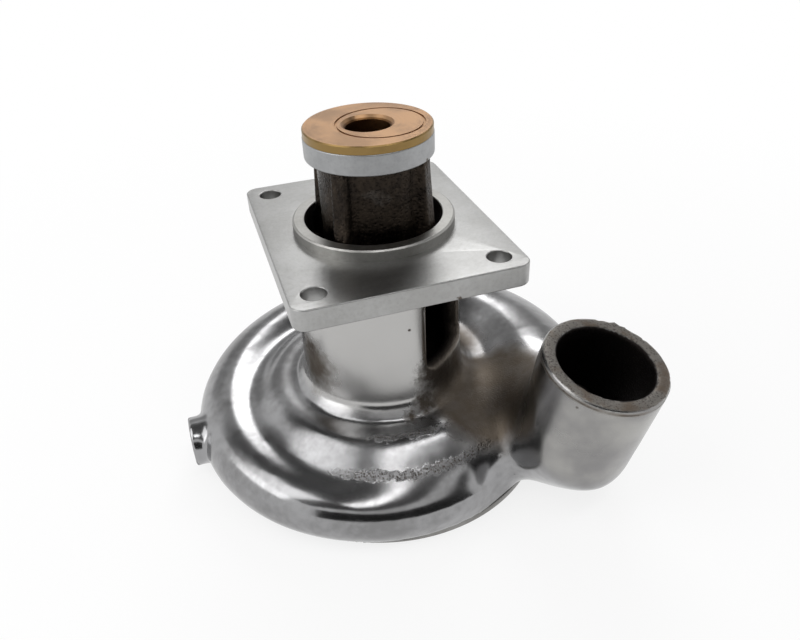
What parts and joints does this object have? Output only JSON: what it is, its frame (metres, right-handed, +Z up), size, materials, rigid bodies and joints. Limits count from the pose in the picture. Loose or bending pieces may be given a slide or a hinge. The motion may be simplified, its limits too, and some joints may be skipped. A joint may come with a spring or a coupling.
{
  "type": "volute pump casing",
  "caption": "Cast volute pump casing with a leaning discharge riser, a rectangular adapter flange and a bearing tower with a flanged bush.",
  "frame": {"origin": "pump axis at the casing's underside, where the suction cover seats", "axes": "+Z up the pump shaft towards the bearing tower; X and Y along the sides of the adapter flange, +Y along its longer side"},
  "size_m": [0.169, 0.1735, 0.1384],
  "materials": {
    "cast_aluminium": "buffed casting, machined faces, as-cast dark tower",
    "bronze": "turned, dull"
  },
  "bodies": {
    "root": {"pump_casing": "cast_aluminium", "thrust_bush": "bronze"}
  },
  "joints": []
}
